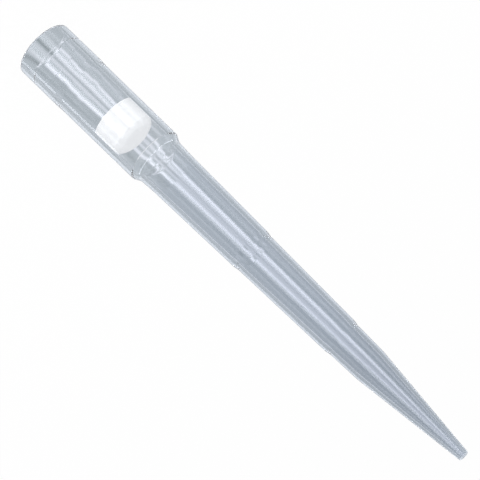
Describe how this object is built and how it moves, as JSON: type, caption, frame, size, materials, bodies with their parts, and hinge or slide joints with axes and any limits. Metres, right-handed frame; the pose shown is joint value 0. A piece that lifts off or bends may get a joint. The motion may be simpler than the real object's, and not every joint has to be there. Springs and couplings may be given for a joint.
{
  "type": "filter pipette tip",
  "caption": "Clear tapered pipette tip: a wide hollow collar that presses onto a pipette nozzle, a stepped slender body, a fine orifice, and a white porous filter plug in the collar.",
  "frame": {"origin": "centre of the mouth rim, on the plane that the rim stands on", "axes": "+Z runs along the tip's axis from the mouth to the orifice; X and Y are any two directions across it"},
  "size_m": [0.0094, 0.0094, 0.088],
  "materials": {
    "clear_polypropylene": "glossy and clear, with a faint cool grey-blue cast",
    "porous_polyethylene": "matt white, fine sintered grain"
  },
  "bodies": {
    "root": {"tip_body": "clear_polypropylene", "filter_plug": "porous_polyethylene"}
  },
  "joints": []
}
